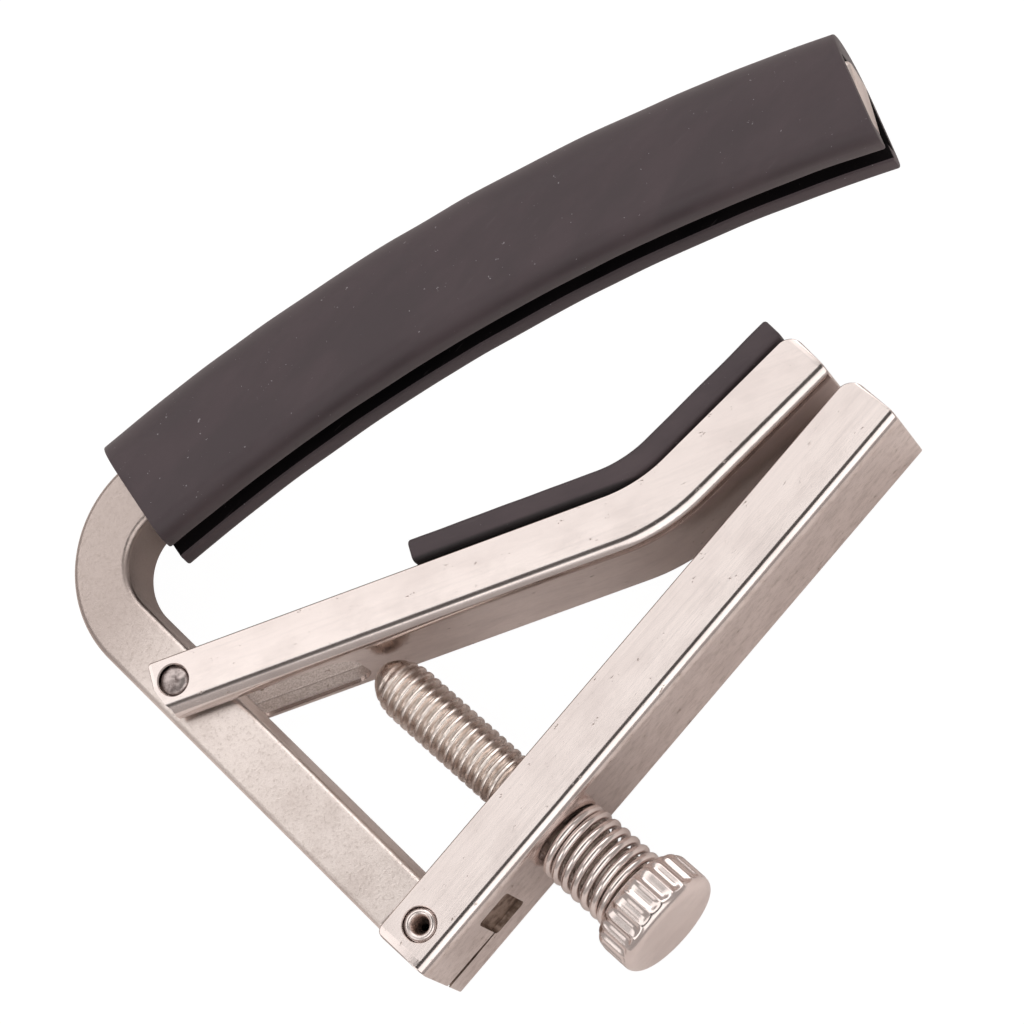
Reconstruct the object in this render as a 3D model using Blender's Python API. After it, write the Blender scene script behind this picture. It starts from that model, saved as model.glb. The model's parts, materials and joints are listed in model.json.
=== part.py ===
"""Guitar capo: a bent bar in a rubber sleeve, a hinged pad arm and a locking lever with a sprung thumbscrew.

The capo lies on its side. The X-Y plane is the plane in which the lever and the arm swing, and Z runs
across the guitar neck, through the two pivots. The leg of the bar stands along +Y.
Until the last step the lever pivot is at the origin and Z = 0 is the middle of the capo's thickness.
Lengths are in metres and angles in degrees.
"""

import math

import bmesh
import bpy
from mathutils import Vector

GAP = 0.0003

# The bent bar: a straight leg, one tight bend, and a shallow arch over the strings.
PIVOT_SPACING = 0.02835
BAR_WIDTH = 0.0050
BAR_DEPTH = 0.0060
BAR_EDGE_BEVEL = 0.00055
LEG_OFFSET = -0.000175
ARCH_CENTRE = (-0.0150, -0.1149)
ARCH_RADIUS = 0.1592
ARCH_START = 81.8
ARCH_END = 58.05
BEND_OUTER_RADIUS = 0.0103
BEND_INNER_RADIUS = 0.0046
NOSE_RADIUS = 0.00135
NOSE_CORNER_RADIUS = 0.0010
NOSE_STEP_HEIGHT = 0.0025

# The rubber sleeve's section, across the bar: heights are measured outward from the bar's middle line.
SLEEVE_DEPTH = 0.0088
SLEEVE_CROWN = 0.0057
SLEEVE_SHOULDER = 0.0015
SLEEVE_LIP = -0.0050
SLEEVE_LIP_THICKNESS = 0.0016
SLEEVE_LIP_RADIUS = 0.0015
SLEEVE_SLIT = 0.0027

# How far each end leans: along the arch, for each unit of height and of z.
LEFT_END_LEAN = (0.05, 0.08)
RIGHT_END_LEAN = (-0.14, -0.035)
LEAN_REACH = 0.009

# The folded sheet channels. Heights are measured from the line through the channel's pivot.
CHANNEL_DEPTH = 0.0100
SHEET = 0.0012
FOLD_RADIUS = 0.0010
FOLD_INNER_RADIUS = 0.00025
EDGE_CHAMFER = 0.00012

# The pad arm, which turns upwards part of the way along.
ARM_ANGLE = -29.2
ARM_TURN = 26.1
ARM_TURN_RADIUS = 0.0140
ARM_TOP = 0.00194
ARM_WEB = -0.00270
ARM_LEFT = -0.00175
ARM_STRAIGHT = 0.0365
ARM_TAIL = 0.0133
ARM_CORNER_RADIUS = 0.0010
SLOT_END = 0.0137
SLOT_WIDTH = 0.0070
SLOT_CORNER_RADIUS = 0.0022

# The neck pad: a T-section strip that rides on the arm's two edges.
PAD_START = 0.02085
PAD_END_INSET = 0.0005
PAD_TOP = 0.00415
PAD_EDGE_RADIUS = 0.00045
PAD_STEM_DEPTH = 0.0068
PAD_STEM_BOTTOM = 0.0009

# The locking lever.
LEVER_ANGLE = 2.0
LEVER_TOP = 0.00233
LEVER_WEB = -0.00285
LEVER_LEFT = -0.00265
LEVER_RIGHT = 0.0518
LEVER_LEFT_RADIUS = 0.0007
LEVER_RIGHT_RADIUS = 0.0008
LEVER_END_CHAMFER = 0.0012
POCKET_START = 0.0028
POCKET_LENGTH = 0.0031
POCKET_WIDTH = 0.0046
POCKET_OFFSET = 0.0005
POCKET_DEPTH = 0.00045
SEAM_WIDTH = 0.00025
SEAM_OFFSET = -0.0012

# Pivot pins, both along Z.
PIN_RADIUS = 0.00095
PIN_RECESS = 0.0004
RIVET_SHANK_RADIUS = 0.00075
RIVET_BORE_RADIUS = 0.00050
RIVET_RIM_RADIUS = 0.00122
RIVET_RIM_HEIGHT = 0.00018
RIVET_SINK_RADIUS = 0.00155
RIVET_SINK_DEPTH = 0.0005

# The thumbscrew. Its own axis starts at the lever's pivot line and runs outward, through the web.
SCREW_STATION = 0.01205
SCREW_RADIUS = 0.00235
SCREW_TIP = 0.01775
SCREW_DOME = 0.0028
SCREW_SPIGOT_RADIUS = 0.0017
NUT_RADIUS = 0.0034
NUT_HEIGHT = 0.0020
KNOB_RADIUS = 0.0045
KNOB_START = 0.0097
KNOB_LENGTH = 0.0040
KNOB_EDGE_RADIUS = 0.0007
KNOB_FLUTES = 24
KNOB_FLUTE_DEPTH = 0.00028
SPRING_RADIUS = 0.0030
SPRING_WIRE_RADIUS = 0.00036
SPRING_TURNS = 5.6

ROUND_SEGMENTS = 40
CORNER_SEGMENTS = 5


def clear_scene():
    for obj in list(bpy.data.objects):
        bpy.data.objects.remove(obj)


def make_material(name, colour, metallic, roughness):
    material = bpy.data.materials.new(name)
    material.use_nodes = True
    shader = material.node_tree.nodes["Principled BSDF"]
    shader.inputs["Base Color"].default_value = (*colour, 1.0)
    shader.inputs["Metallic"].default_value = metallic
    shader.inputs["Roughness"].default_value = roughness
    return material


def make_empty(name, parent=None, location=(0.0, 0.0, 0.0), rotation=(0.0, 0.0, 0.0)):
    empty = bpy.data.objects.new(name, None)
    empty.empty_display_size = 0.005
    empty.parent = parent
    empty.location = location
    empty.rotation_euler = [math.radians(angle) for angle in rotation]
    bpy.context.scene.collection.objects.link(empty)
    return empty


def make_object(name, bm, parent, material=None, smooth_angle=30.0):
    """The named object of a finished bmesh, faces out, under its parent empty."""
    bmesh.ops.recalc_face_normals(bm, faces=bm.faces)
    mesh = bpy.data.meshes.new(name)
    bm.to_mesh(mesh)
    bm.free()
    mesh.shade_smooth()
    mesh.set_sharp_from_angle(angle=math.radians(smooth_angle))
    obj = bpy.data.objects.new(name, mesh)
    obj.parent = parent
    if material:
        mesh.materials.append(material)
    bpy.context.scene.collection.objects.link(obj)
    return obj


def cut(target, name, bm, parent=None, location=(0.0, 0.0, 0.0), rotation=(0.0, 0.0, 0.0)):
    """Takes the shape of a bmesh out of the target, through a hidden cutter object."""
    cutter = make_object(target.name + "_" + name, bm, parent or target.parent)
    cutter.location = location
    cutter.rotation_euler = [math.radians(angle) for angle in rotation]
    cutter.hide_render = True
    cutter.display_type = "WIRE"
    boolean = target.modifiers.new(name, "BOOLEAN")
    boolean.operation = "DIFFERENCE"
    boolean.object = cutter


def arc(centre, radius, start, end, segments):
    """Points on a circle from one angle to another, both ends included."""
    points = []
    for step in range(segments + 1):
        angle = math.radians(start + (end - start) * step / segments)
        points.append((centre[0] + radius * math.cos(angle), centre[1] + radius * math.sin(angle)))
    return points


def prism(outline, low, high):
    """An outline in X and Y, as a solid from one Z to another."""
    bm = bmesh.new()
    bottom = [bm.verts.new((x, y, low)) for x, y in outline]
    top = [bm.verts.new((x, y, high)) for x, y in outline]
    bm.faces.new(bottom)
    bm.faces.new(top)
    for index in range(len(outline)):
        after = (index + 1) % len(outline)
        bm.faces.new((bottom[index], bottom[after], top[after], top[index]))
    return bm


def join_rings(bm, rings, closed=False):
    """Faces between neighbouring rings of vertices, with flat ends unless the rings meet in a loop."""
    count = len(rings[0])
    pairs = list(zip(rings, rings[1:]))
    if closed:
        pairs.append((rings[-1], rings[0]))
    for ring, following in pairs:
        for index in range(count):
            after = (index + 1) % count
            bm.faces.new((ring[index], ring[after], following[after], following[index]))
    if not closed:
        bm.faces.new(rings[0])
        bm.faces.new(rings[-1])


def sweep(section, stations, leans=None):
    """A section of (height, z) points carried along stations of (x, y, direction in degrees).

    leans holds, for each station, how far a point moves forward for each unit of its height and of its z.
    """
    bm = bmesh.new()
    rings = []
    for index, (x, y, direction) in enumerate(stations):
        forward = Vector((math.cos(math.radians(direction)), math.sin(math.radians(direction)), 0.0))
        upward = Vector((-forward.y, forward.x, 0.0))
        by_height, by_z = leans[index] if leans else (0.0, 0.0)
        ring = []
        for height, z in section:
            along = by_height * height + by_z * z
            ring.append(bm.verts.new(Vector((x, y, z)) + forward * along + upward * height))
        rings.append(ring)
    join_rings(bm, rings)
    return bm


def turn(profile, segments=ROUND_SEGMENTS, hollow=False):
    """A profile of (radius, z) points turned about Z: a loop when hollow, or else a line from end to end."""
    bm = bmesh.new()
    rings = []
    for radius, z in profile:
        ring = []
        for step in range(segments):
            angle = 2.0 * math.pi * step / segments
            ring.append(bm.verts.new((radius * math.cos(angle), radius * math.sin(angle), z)))
        rings.append(ring)
    join_rings(bm, rings, closed=hollow)
    return bm


def cylinder(radius, low, high):
    return turn([(radius, low), (radius, high)])


def box_outline(low_x, low_y, high_x, high_y, radius=0.0):
    """A rectangle, with round corners when a radius is given."""
    if not radius:
        return [(low_x, low_y), (high_x, low_y), (high_x, high_y), (low_x, high_y)]
    centres = [
        (high_x - radius, high_y - radius, 0.0),
        (low_x + radius, high_y - radius, 90.0),
        (low_x + radius, low_y + radius, 180.0),
        (high_x - radius, low_y + radius, 270.0),
    ]
    points = []
    for x, y, start in centres:
        points += arc((x, y), radius, start, start + 90.0, CORNER_SEGMENTS)
    return points


def corner_outline(x, y, radius, side_x, side_y):
    """What a round corner removes at (x, y). side_x and side_y, each 1 or -1, say where the body lies."""
    over = 0.0002
    centre = (x + side_x * radius, y + side_y * radius)
    start = math.degrees(math.atan2(0.0, -side_x))
    end = math.degrees(math.atan2(-side_y, 0.0))
    if end - start > 180.0:
        end -= 360.0
    if start - end > 180.0:
        end += 360.0
    points = arc(centre, radius, start, end, CORNER_SEGMENTS)
    points.append((x + side_x * radius, y - side_y * over))
    points.append((x - side_x * over, y - side_y * over))
    points.append((x - side_x * over, y + side_y * radius))
    return points


# The bar and its sleeve.


def arch_point(radius, degrees):
    angle = math.radians(degrees)
    return (ARCH_CENTRE[0] + radius * math.cos(angle), ARCH_CENTRE[1] + radius * math.sin(angle))


def bend_centre(side_x, bend_radius, arch_radius):
    """The centre of a bend that runs smoothly from the leg's side into the arch, and its angle there."""
    x = side_x + bend_radius
    reach = arch_radius - bend_radius
    across = x - ARCH_CENTRE[0]
    y = ARCH_CENTRE[1] + math.sqrt(reach**2 - across**2)
    return (x, y), math.degrees(math.acos(across / reach))


def nose_outline(left, right):
    """The leg's lower end, from its left side to its right: round where the lever's web swings past it."""
    corner = (right - NOSE_CORNER_RADIUS, NOSE_CORNER_RADIUS - NOSE_RADIUS)
    points = [(left, NOSE_STEP_HEIGHT), (-NOSE_RADIUS, NOSE_STEP_HEIGHT)]
    points += arc((0.0, 0.0), NOSE_RADIUS, 180.0, 270.0, 2 * CORNER_SEGMENTS)
    points += arc(corner, NOSE_CORNER_RADIUS, 270.0, 360.0, CORNER_SEGMENTS)
    return points


def bar_end_point(height):
    """A point of the bar's free end, which leans as the sleeve's end does."""
    lean = RIGHT_END_LEAN[0] * height
    return arch_point(ARCH_RADIUS + height, ARCH_END - math.degrees(lean / ARCH_RADIUS))


def bar_outline():
    left = LEG_OFFSET - BAR_WIDTH / 2
    right = LEG_OFFSET + BAR_WIDTH / 2
    inner_arch = ARCH_RADIUS - BAR_WIDTH / 2
    outer_arch = ARCH_RADIUS + BAR_WIDTH / 2
    inner_centre, inner_angle = bend_centre(right, BEND_INNER_RADIUS, inner_arch)
    outer_centre, outer_angle = bend_centre(left, BEND_OUTER_RADIUS, outer_arch)
    near_end = ARCH_END + 1.0
    points = nose_outline(left, right)
    points += arc(inner_centre, BEND_INNER_RADIUS, 180.0, inner_angle, 10)
    points += arc(ARCH_CENTRE, inner_arch, inner_angle, near_end, 15)[1:]
    points += [bar_end_point(-BAR_WIDTH / 2), bar_end_point(BAR_WIDTH / 2)]
    points += arc(ARCH_CENTRE, outer_arch, near_end, outer_angle, 15)
    points += arc(outer_centre, BEND_OUTER_RADIUS, outer_angle, 180.0, 16)[1:]
    return points


def make_hook_frame(parent, material):
    frame = make_object("hook_frame", prism(bar_outline(), -BAR_DEPTH / 2, BAR_DEPTH / 2), parent, material)
    bevel = frame.modifiers.new("edges", "BEVEL")
    bevel.width = BAR_EDGE_BEVEL
    bevel.segments = 2
    bevel.limit_method = "ANGLE"
    bevel.angle_limit = math.radians(50.0)
    cut(frame, "lever_hole", cylinder(RIVET_SHANK_RADIUS + GAP, -BAR_DEPTH, BAR_DEPTH))
    cut(frame, "arm_hole", cylinder(PIN_RADIUS + GAP, -BAR_DEPTH, BAR_DEPTH), location=(0.0, PIVOT_SPACING, 0.0))
    return frame


def sleeve_section():
    """The sleeve's closed C, as (height, z): outside from lip to lip, then the hollow back again."""
    half = SLEEVE_DEPTH / 2
    slit = SLEEVE_SLIT / 2
    lip_centre = SLEEVE_LIP + SLEEVE_LIP_RADIUS
    crown_rise = SLEEVE_CROWN - SLEEVE_SHOULDER
    hollow_top = BAR_WIDTH / 2 + GAP
    hollow_side = BAR_DEPTH / 2 + GAP
    hollow_floor = SLEEVE_LIP + SLEEVE_LIP_THICKNESS
    outside = [(SLEEVE_LIP, slit)]
    for z, height in arc((half - SLEEVE_LIP_RADIUS, lip_centre), SLEEVE_LIP_RADIUS, -90.0, 0.0, CORNER_SEGMENTS):
        outside.append((height, z))
    for step in range(1, 9):
        angle = math.radians(90.0 * step / 9)
        outside.append((SLEEVE_SHOULDER + crown_rise * math.sin(angle), half * math.cos(angle)))
    hollow = [
        (hollow_floor, slit),
        (hollow_floor, hollow_side - GAP),
        (hollow_floor + GAP, hollow_side),
        (hollow_top - GAP, hollow_side),
        (hollow_top, hollow_side - GAP),
    ]
    front = outside + [(SLEEVE_CROWN, 0.0)]
    back = [(height, -z) for height, z in reversed(outside)]
    inside = [(height, -z) for height, z in hollow] + list(reversed(hollow))
    return front + back + inside


def end_lean(left_distance, right_distance):
    """The sleeve's lean at a distance from each end: full at the end itself, and none past LEAN_REACH."""
    left = max(1.0 - left_distance / LEAN_REACH, 0.0) ** 2
    right = max(1.0 - right_distance / LEAN_REACH, 0.0) ** 2
    return [left * at_left + right * at_right for at_left, at_right in zip(LEFT_END_LEAN, RIGHT_END_LEAN)]


def make_bar_sleeve(parent, material):
    stations = []
    leans = []
    steps = 22
    length = math.radians(ARCH_START - ARCH_END) * ARCH_RADIUS
    for step in range(steps + 1):
        degrees = ARCH_START + (ARCH_END - ARCH_START) * step / steps
        stations.append((*arch_point(ARCH_RADIUS, degrees), degrees - 90.0))
        leans.append(end_lean(length * step / steps, length * (1.0 - step / steps)))
    return make_object("bar_sleeve", sweep(sleeve_section(), stations, leans), parent, material)


# The folded channels.


def channel_section(top, web):
    """A U of folded sheet, open at its top, as (height, z)."""
    half = CHANNEL_DEPTH / 2
    wall = half - SHEET
    side = [(top, half - EDGE_CHAMFER), (top - EDGE_CHAMFER, half)]
    for z, height in arc((half - FOLD_RADIUS, web + FOLD_RADIUS), FOLD_RADIUS, 0.0, -90.0, CORNER_SEGMENTS):
        side.append((height, z))
    inner_centre = (wall - FOLD_INNER_RADIUS, web + SHEET + FOLD_INNER_RADIUS)
    inner = [(top, wall)]
    for z, height in arc(inner_centre, FOLD_INNER_RADIUS, 0.0, -90.0, 2):
        inner.append((height, z))
    outside = side + [(height, -z) for height, z in reversed(side)]
    inside = [(height, -z) for height, z in inner] + list(reversed(inner))
    return outside + inside


def arm_stations(start, end_inset=0.0, end_margin=0.0):
    """Places along the arm, in its own frame: straight from its pivot, up round the turn, and on to the end."""
    turn_centre = (ARM_STRAIGHT, ARM_TURN_RADIUS)
    stations = [(start, 0.0, 0.0)]
    steps = 10
    for step in range(steps + 1):
        degrees = ARM_TURN * step / steps
        x, y = arc(turn_centre, ARM_TURN_RADIUS, degrees - 90.0, degrees - 90.0, 1)[0]
        stations.append((x, y, degrees))
    x, y, degrees = stations[-1]
    tail = ARM_TAIL - end_inset + end_margin
    angle = math.radians(ARM_TURN)
    stations.append((x + tail * math.cos(angle), y + tail * math.sin(angle), ARM_TURN))
    return stations


def make_pad_arm(parent, material):
    arm = make_object("pad_arm", sweep(channel_section(ARM_TOP, ARM_WEB), arm_stations(ARM_LEFT)), parent, material)
    over = CHANNEL_DEPTH
    cut(arm, "pin_hole", cylinder(PIN_RADIUS + GAP, -over, over))
    # The flange's lower left corner slants away, and the web starts a little further along.
    slant = [(-0.0040, 0.0), (ARM_LEFT, 0.0), (-0.0011, -0.0017), (-0.0006, -0.0040), (-0.0040, -0.0040)]
    cut(arm, "left_corner", prism(slant, -over, over))
    slot = box_outline(-0.006, -SLOT_WIDTH / 2, SLOT_END, SLOT_WIDTH / 2, SLOT_CORNER_RADIUS)
    cut(arm, "slot", prism(slot, 0.0008, 0.0040), rotation=(90.0, 0.0, 0.0))
    x, y, degrees = arm_stations(ARM_LEFT)[-1]
    corner = corner_outline(0.0, ARM_TOP, ARM_CORNER_RADIUS, -1, -1)
    cut(arm, "right_corner", prism(corner, -over, over), location=(x, y, 0.0), rotation=(0.0, 0.0, degrees))
    return arm


def pad_section():
    """The pad's T, as (height, z): a rounded strip above the arm's edges and a stem between its walls."""
    half = CHANNEL_DEPTH / 2
    stem = PAD_STEM_DEPTH / 2
    bottom = ARM_TOP + GAP
    radius = PAD_EDGE_RADIUS
    side = []
    for z, height in arc((half - radius, PAD_TOP - radius), radius, 90.0, 0.0, 3):
        side.append((height, z))
    for z, height in arc((half - radius, bottom + radius), radius, 0.0, -90.0, 3):
        side.append((height, z))
    side += [(bottom, stem), (PAD_STEM_BOTTOM, stem)]
    return side + [(height, -z) for height, z in reversed(side)]


def make_neck_pad(parent, material):
    stations = arm_stations(PAD_START, end_inset=PAD_END_INSET)
    return make_object("neck_pad", sweep(pad_section(), stations), parent, material)


def make_lever(parent, material):
    stations = [(LEVER_LEFT, 0.0, 0.0), (LEVER_RIGHT, 0.0, 0.0)]
    lever = make_object("lever", sweep(channel_section(LEVER_TOP, LEVER_WEB), stations), parent, material)
    over = CHANNEL_DEPTH
    cut(lever, "rivet_hole", cylinder(RIVET_SHANK_RADIUS + GAP, -over, over))
    for name, side in (("front", 1.0), ("back", -1.0)):
        floor = side * (CHANNEL_DEPTH / 2 - RIVET_SINK_DEPTH)
        low, high = sorted((floor, side * over))
        cut(lever, "rivet_sink_" + name, cylinder(RIVET_SINK_RADIUS, low, high))
    left_corner = corner_outline(LEVER_LEFT, LEVER_TOP, LEVER_LEFT_RADIUS, 1, -1)
    cut(lever, "left_corner", prism(left_corner, -over, over))
    right_corner = corner_outline(LEVER_RIGHT, LEVER_TOP, LEVER_RIGHT_RADIUS, -1, -1)
    cut(lever, "right_corner", prism(right_corner, -over, over))
    # The web's end slopes away inside, so that the leg's nose clears it when the lever opens.
    inner = LEVER_WEB + SHEET
    slope = [(LEVER_LEFT - 0.0002, LEVER_WEB + 0.0001)]
    slope += [(LEVER_LEFT + LEVER_END_CHAMFER, inner + 0.0001), (LEVER_LEFT - 0.0002, inner + 0.0001)]
    wall = CHANNEL_DEPTH / 2 - SHEET
    cut(lever, "end_slope", prism(slope, -wall + 0.00005, wall - 0.00005))
    screw_hole = cylinder(SCREW_RADIUS + GAP, -0.0040, -0.0008)
    cut(lever, "screw_hole", screw_hole, location=(SCREW_STATION, 0.0, 0.0), rotation=(-90.0, 0.0, 0.0))
    # A plain pocket pressed into the web's outer face, with the sheet's seam running from it to the end.
    pocket_end = POCKET_START + POCKET_LENGTH
    pocket_low = POCKET_OFFSET - POCKET_WIDTH / 2
    pocket = box_outline(POCKET_START, pocket_low, pocket_end, pocket_low + POCKET_WIDTH, 0.0004)
    floor = -LEVER_WEB - POCKET_DEPTH
    cut(lever, "pocket", prism(pocket, floor, 0.0040), rotation=(90.0, 0.0, 0.0))
    seam_low = SEAM_OFFSET - SEAM_WIDTH / 2
    seam = box_outline(LEVER_LEFT - 0.001, seam_low, POCKET_START - 0.0005, seam_low + SEAM_WIDTH)
    cut(lever, "seam", prism(seam, floor, 0.0040), rotation=(90.0, 0.0, 0.0))
    return lever


# Pins, screw and spring.


def make_arm_pin(parent, material):
    half = CHANNEL_DEPTH / 2 - PIN_RECESS
    dome = 0.0001
    edge = 0.0002
    profile = [(0.0004, -half), (PIN_RADIUS - edge, dome - half), (PIN_RADIUS, edge + dome - half)]
    profile += [(radius, -z) for radius, z in reversed(profile)]
    return make_object("arm_pivot_pin", turn(profile, 28), parent, material)


def make_lever_rivet(parent, material):
    """A hollow rivet: each end is rolled outward into a rim that sits in the lever's countersink."""
    half = CHANNEL_DEPTH / 2
    rim_low = half - RIVET_RIM_HEIGHT
    rim = [
        (RIVET_SHANK_RADIUS, rim_low),
        (RIVET_RIM_RADIUS - 0.0001, rim_low),
        (RIVET_RIM_RADIUS, rim_low + 0.00006),
        (RIVET_RIM_RADIUS - 0.00014, half - 0.00003),
        (0.5 * (RIVET_RIM_RADIUS + RIVET_BORE_RADIUS), half),
        (RIVET_BORE_RADIUS + 0.0001, half - 0.00004),
        (RIVET_BORE_RADIUS, half - 0.00015),
    ]
    profile = rim + [(radius, -z) for radius, z in reversed(rim)]
    return make_object("lever_pivot_rivet", turn(profile, 28, hollow=True), parent, material)


def make_nut_insert(parent, material):
    """The threaded nut fixed on the inner face of the lever's thin web, on the screw's axis."""
    bore = SCREW_RADIUS + GAP
    seat = -LEVER_WEB - SHEET - GAP
    edge = 0.0003
    profile = [
        (bore, seat),
        (NUT_RADIUS - edge, seat),
        (NUT_RADIUS, seat - edge),
        (NUT_RADIUS, seat - NUT_HEIGHT + edge),
        (NUT_RADIUS - edge, seat - NUT_HEIGHT),
        (bore, seat - NUT_HEIGHT),
    ]
    return make_object("nut_insert", turn(profile, hollow=True), parent, material)


def make_screw(parent, material):
    """The screw at its thread's outer diameter, with a smooth domed tip and a spigot inside the knob."""
    profile = []
    steps = 6
    for step in range(steps):
        angle = math.radians(12.0 + 78.0 * step / steps)
        profile.append((SCREW_RADIUS * math.sin(angle), -SCREW_TIP + SCREW_DOME * (1.0 - math.cos(angle))))
    shoulder = KNOB_START - GAP
    profile += [(SCREW_RADIUS, SCREW_DOME - SCREW_TIP), (SCREW_RADIUS, shoulder)]
    profile += [(SCREW_SPIGOT_RADIUS, shoulder), (SCREW_SPIGOT_RADIUS, KNOB_START + 0.6 * KNOB_LENGTH)]
    return make_object("adjusting_screw", turn(profile), parent, material)


def make_knob(parent, material):
    """A round knob with shallow flutes, bored for the screw's spigot."""
    low = KNOB_START
    high = KNOB_START + KNOB_LENGTH
    edge = KNOB_EDGE_RADIUS
    rows = [
        (KNOB_RADIUS - edge, low, 0.0),
        (KNOB_RADIUS - 0.3 * edge, low + 0.3 * edge, 0.0),
        (KNOB_RADIUS, low + edge, 1.0),
        (KNOB_RADIUS, high - edge, 1.0),
        (KNOB_RADIUS - 0.3 * edge, high - 0.3 * edge, 0.0),
        (KNOB_RADIUS - edge, high, 0.0),
    ]
    bm = bmesh.new()
    segments = 4 * KNOB_FLUTES
    rings = []
    for radius, z, flute in rows:
        ring = []
        for step in range(segments):
            angle = 2.0 * math.pi * step / segments
            hollow = flute * KNOB_FLUTE_DEPTH * (0.5 + 0.5 * math.cos(KNOB_FLUTES * angle))
            ring.append(bm.verts.new(((radius - hollow) * math.cos(angle), (radius - hollow) * math.sin(angle), z)))
        rings.append(ring)
    join_rings(bm, rings)
    knob = make_object("screw_knob", bm, parent, material)
    bore_end = KNOB_START + 0.6 * KNOB_LENGTH + GAP
    cut(knob, "bore", cylinder(SCREW_SPIGOT_RADIUS + GAP, KNOB_START - 0.001, bore_end))
    return knob


def make_spring(parent, material):
    """The coil between the lever's web and the knob, as one round wire."""
    start = -LEVER_WEB + GAP + SPRING_WIRE_RADIUS
    end = KNOB_START - GAP - SPRING_WIRE_RADIUS
    per_turn = 18
    sides = 8
    count = round(SPRING_TURNS * per_turn)
    bm = bmesh.new()
    rings = []
    for step in range(count + 1):
        angle = 2.0 * math.pi * SPRING_TURNS * step / count
        z = start + (end - start) * step / count
        ring = []
        for side in range(sides):
            around = 2.0 * math.pi * side / sides
            radius = SPRING_RADIUS + SPRING_WIRE_RADIUS * math.cos(around)
            height = z + SPRING_WIRE_RADIUS * math.sin(around)
            ring.append(bm.verts.new((radius * math.cos(angle), radius * math.sin(angle), height)))
        rings.append(ring)
    join_rings(bm, rings)
    return make_object("tension_spring", bm, parent, material)


def stand_on_floor(root, nodes):
    """Moves the whole capo so that the bottom centre of its box is at the origin."""
    bpy.context.view_layer.update()
    graph = bpy.context.evaluated_depsgraph_get()
    low = [math.inf] * 3
    high = [-math.inf] * 3
    for node in nodes:
        shape = node.evaluated_get(graph)
        for vertex in shape.data.vertices:
            point = shape.matrix_world @ vertex.co
            for axis in range(3):
                low[axis] = min(low[axis], point[axis])
                high[axis] = max(high[axis], point[axis])
    root.location = (-0.5 * (low[0] + high[0]), -0.5 * (low[1] + high[1]), -low[2])
    bpy.context.view_layer.update()


def main():
    clear_scene()
    nickel = make_material("nickel_plate", (0.72, 0.68, 0.64), 1.0, 0.28)
    cast_nickel = make_material("cast_nickel", (0.70, 0.66, 0.62), 1.0, 0.42)
    tarnished = make_material("tarnished_steel", (0.36, 0.31, 0.28), 1.0, 0.45)
    rubber = make_material("black_rubber", (0.045, 0.040, 0.041), 0.0, 0.62)

    root = make_empty("capo")
    arm_pivot = make_empty("arm_pivot", root, (0.0, PIVOT_SPACING, 0.0), (0.0, 0.0, ARM_ANGLE))
    lever_pivot = make_empty("lever_pivot", root, (0.0, 0.0, 0.0), (0.0, 0.0, LEVER_ANGLE))
    screw_axis = make_empty("screw_axis", lever_pivot, (SCREW_STATION, 0.0, 0.0), (90.0, 0.0, 0.0))

    nodes = [
        make_hook_frame(root, cast_nickel),
        make_bar_sleeve(root, rubber),
        make_arm_pin(arm_pivot, tarnished),
        make_lever_rivet(lever_pivot, nickel),
        make_pad_arm(arm_pivot, nickel),
        make_neck_pad(arm_pivot, rubber),
        make_lever(lever_pivot, nickel),
        make_nut_insert(screw_axis, nickel),
        make_screw(screw_axis, tarnished),
        make_knob(screw_axis, nickel),
        make_spring(screw_axis, nickel),
    ]
    stand_on_floor(root, nodes)


main()
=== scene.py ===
"""A guitar capo lying on its side.

Its frame, pad arm and lever are nickel-plated, its sleeve and pad are rubber, and a thumbscrew
sets its grip. Shapes are written in millimetres, each in the axes of the piece it belongs to,
and placed from the frame's joints.
"""

import json
import math

import bmesh
import bpy
from mathutils import Matrix, Quaternion, Vector, noise


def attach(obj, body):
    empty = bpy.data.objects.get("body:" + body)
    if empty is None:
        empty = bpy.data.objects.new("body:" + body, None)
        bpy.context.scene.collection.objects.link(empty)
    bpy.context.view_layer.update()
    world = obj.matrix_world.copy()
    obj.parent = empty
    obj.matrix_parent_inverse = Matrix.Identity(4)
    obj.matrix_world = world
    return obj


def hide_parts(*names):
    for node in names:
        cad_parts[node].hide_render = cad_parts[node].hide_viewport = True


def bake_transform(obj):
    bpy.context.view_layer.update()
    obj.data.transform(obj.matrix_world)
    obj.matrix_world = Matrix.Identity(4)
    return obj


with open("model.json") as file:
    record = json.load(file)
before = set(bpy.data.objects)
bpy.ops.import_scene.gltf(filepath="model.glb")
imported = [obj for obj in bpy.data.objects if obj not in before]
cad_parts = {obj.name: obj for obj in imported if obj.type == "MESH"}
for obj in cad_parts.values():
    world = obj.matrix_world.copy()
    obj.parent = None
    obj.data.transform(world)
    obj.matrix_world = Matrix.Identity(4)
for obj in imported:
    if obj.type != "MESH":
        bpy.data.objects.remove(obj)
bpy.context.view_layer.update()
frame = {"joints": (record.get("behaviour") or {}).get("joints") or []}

MM = 0.001

# Sizes in millimetres and degrees. Heights in a channel are along its own Y.
BAR_WIDTH = 5.0
BAR_DEPTH = 6.0
BAR_EDGE = 0.55
LEG_LEFT = -2.675
LEG_STEP = 2.5
LEG_ROOT_RADIUS = 1.35
LEG_CORNER = 1.0
ARCH_CENTRE = (-15.0, -114.9)
ARCH_RADIUS = 159.2
ARCH_START = 81.8
ARCH_END = 58.05
BEND_OUTER = 10.3
BEND_INNER = 4.6

# How far an end of the sleeve or the bar moves forward for each unit of height, and then of Z.
LEFT_END_LEAN = (0.05, 0.08)
RIGHT_END_LEAN = (-0.14, -0.035)
BAR_END_LEAN = -0.02
LEAN_REACH = 9.0

CHANNEL_HALF = 5.0
SHEET = 1.2
ARM_BORE = 1.25
LEVER_BORE = 1.05

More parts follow.
